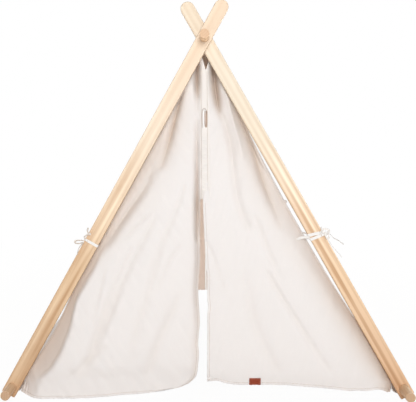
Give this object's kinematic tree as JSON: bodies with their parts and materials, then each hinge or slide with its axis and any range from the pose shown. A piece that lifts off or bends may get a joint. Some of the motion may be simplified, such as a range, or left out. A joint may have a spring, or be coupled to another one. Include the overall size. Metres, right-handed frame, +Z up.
{
  "type": "play tent",
  "caption": "Folding play tent for a child: two A frames of round-topped wooden slats on dowels under a cotton cover with a slit door and bow ties.",
  "frame": {"origin": "on the floor under the middle of the tent, the centre of the bottom of its bounding box", "axes": "+Z up, -Y out of the door, +X to the right as seen from the front; the ridge lies along Y"},
  "size_m": [1.2328, 1.166, 1.1916],
  "materials": {
    "pine": "planed, clear satin",
    "dowel_wood": "turned, clear satin",
    "cotton": "off-white plain weave canvas",
    "cotton_tape": "white woven tape",
    "label_cloth": "red-brown woven patch, bare"
  },
  "bodies": {
    "cover_middle": {"ridge_dowel": "dowel_wood", "ridge_sleeve": "cotton", "front_placket": "cotton", "placket_loop": "cotton_tape"},
    "left_frame": {"front_left_pole": "pine", "back_left_pole": "pine", "left_base_dowel": "dowel_wood", "left_base_sleeve": "cotton", "left_side_panel": "cotton", "front_left_flap": "cotton", "back_left_panel": "cotton", "front_left_tie": "cotton_tape", "back_left_tie": "cotton_tape"},
    "right_frame": {"front_right_pole": "pine", "back_right_pole": "pine", "right_base_dowel": "dowel_wood", "right_base_sleeve": "cotton", "right_side_panel": "cotton", "front_right_flap": "cotton", "back_right_panel": "cotton", "front_right_tie": "cotton_tape", "back_right_tie": "cotton_tape", "hem_label": "label_cloth"}
  },
  "joints": [
    {"name": "left_fold", "type": "hinge", "parent": "cover_middle", "child": "left_frame", "pos_m": [0, 0, 1.07982], "axis": [0, -1, 0], "range_deg": [0, 26], "deforming": ["front_left_flap", "back_left_panel"]},
    {"name": "right_fold", "type": "hinge", "parent": "cover_middle", "child": "right_frame", "pos_m": [0, 0, 1.07982], "axis": [0, 1, 0], "range_deg": [0, 26], "deforming": ["front_right_flap", "back_right_panel", "hem_label"]}
  ],
  "couplings": [
    {"joint": "right_fold", "follows": "left_fold", "ratio": 1}
  ]
}
